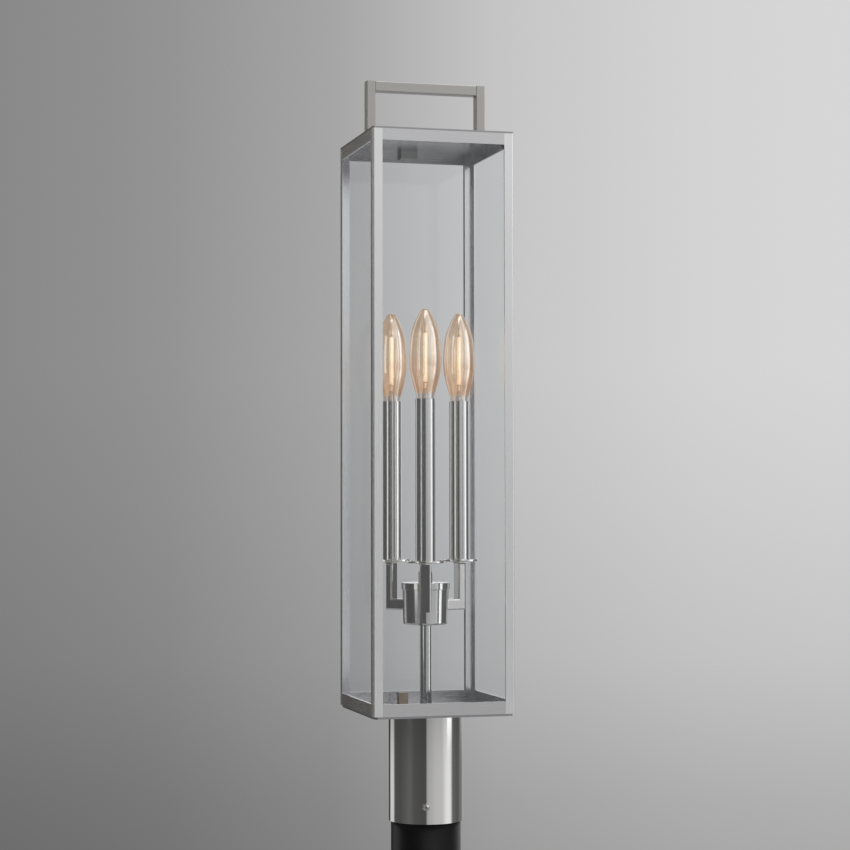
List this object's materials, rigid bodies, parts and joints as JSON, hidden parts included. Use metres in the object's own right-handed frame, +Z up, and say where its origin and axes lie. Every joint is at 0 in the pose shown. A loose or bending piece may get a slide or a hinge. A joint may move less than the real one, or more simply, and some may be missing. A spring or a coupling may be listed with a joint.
{
  "type": "post lantern",
  "caption": "Tall square glazed lantern on a round post collar, with upright candle lights on a central hub and a rigid square bar handle on top.",
  "frame": {"origin": "centre of the collar's lower rim, where the post enters", "axes": "+Z up along the collar and the stem, -Y towards the front pane, +Y towards the pull-off door, +X to the right seen from the front"},
  "size_m": [0.156, 0.1721, 0.807],
  "materials": {
    "brushed_frame": "fine brushed satin",
    "polished_metal": "polished, faint lengthwise lines",
    "plain_steel": "plain zinc plated",
    "pane_glass": "clear flat",
    "bulb_glass": "clear amber tint",
    "cap_brass": "bright",
    "catch_brass": "dull",
    "catch_steel": "satin grey",
    "socket_plastic": "moulded matte"
  },
  "bodies": {
    "lantern": {"corner_post_front_left": "brushed_frame", "corner_post_front_right": "brushed_frame", "corner_post_back_right": "brushed_frame", "corner_post_back_left": "brushed_frame", "top_rail_front": "brushed_frame", "top_rail_right": "brushed_frame", "top_rail_back": "brushed_frame", "top_rail_left": "brushed_frame", "bottom_rail_front": "brushed_frame", "bottom_rail_right": "brushed_frame", "bottom_rail_back": "brushed_frame", "bottom_rail_left": "brushed_frame", "roof_plate": "brushed_frame", "base_plate": "brushed_frame", "handle_leg_left": "brushed_frame", "handle_leg_right": "brushed_frame", "handle_bar": "brushed_frame", "glass_front": "pane_glass", "glass_left": "pane_glass", "glass_right": "pane_glass", "glass_clips": "plain_steel", "upper_catch": "catch_steel", "lower_catch": "catch_brass", "post_collar": "polished_metal", "stem_tube": "polished_metal", "stem_pipe": "plain_steel", "lock_nuts": "plain_steel", "hub_cup": "polished_metal", "hub_lid": "polished_metal", "hub_finial": "polished_metal", "socket_pipes": "plain_steel", "arm_1": "polished_metal", "drip_pan_1": "polished_metal", "candle_sleeve_1": "polished_metal", "socket_1": "socket_plastic", "arm_2": "polished_metal", "drip_pan_2": "polished_metal", "candle_sleeve_2": "polished_metal", "socket_2": "socket_plastic", "arm_3": "polished_metal", "drip_pan_3": "polished_metal", "candle_sleeve_3": "polished_metal", "socket_3": "socket_plastic"},
    "back_door": {"door_stile_left": "brushed_frame", "door_stile_right": "brushed_frame", "door_rail_top": "brushed_frame", "door_rail_bottom": "brushed_frame", "door_glass": "pane_glass", "door_knob": "polished_metal", "door_tongues": "plain_steel"},
    "bulb_1": {"bulb_cap_1": "cap_brass", "bulb_glass_1": "bulb_glass"},
    "bulb_2": {"bulb_cap_2": "cap_brass", "bulb_glass_2": "bulb_glass"},
    "bulb_3": {"bulb_cap_3": "cap_brass", "bulb_glass_3": "bulb_glass"},
    "clamp_screw_1": {"set_screw_1": "polished_metal"},
    "clamp_screw_2": {"set_screw_2": "polished_metal"},
    "clamp_screw_3": {"set_screw_3": "polished_metal"}
  },
  "joints": [
    {"name": "door_pull", "type": "slide", "parent": "lantern", "child": "back_door", "axis": [0, 1, 0], "range_m": [0, 0.12]},
    {"name": "bulb_lift_1", "type": "slide", "parent": "lantern", "child": "bulb_1", "axis": [0, 0, 1], "range_m": [0, 0.03]},
    {"name": "bulb_lift_2", "type": "slide", "parent": "lantern", "child": "bulb_2", "axis": [0, 0, 1], "range_m": [0, 0.03]},
    {"name": "bulb_lift_3", "type": "slide", "parent": "lantern", "child": "bulb_3", "axis": [0, 0, 1], "range_m": [0, 0.03]},
    {"name": "screw_back_off_1", "type": "slide", "parent": "lantern", "child": "clamp_screw_1", "axis": [-0.2588, -0.9659, 0], "range_m": [0, 0.008]},
    {"name": "screw_back_off_2", "type": "slide", "parent": "lantern", "child": "clamp_screw_2", "axis": [-0.7071, 0.7071, 0], "range_m": [0, 0.008]},
    {"name": "screw_back_off_3", "type": "slide", "parent": "lantern", "child": "clamp_screw_3", "axis": [0.9659, 0.2588, 0], "range_m": [0, 0.008]}
  ]
}
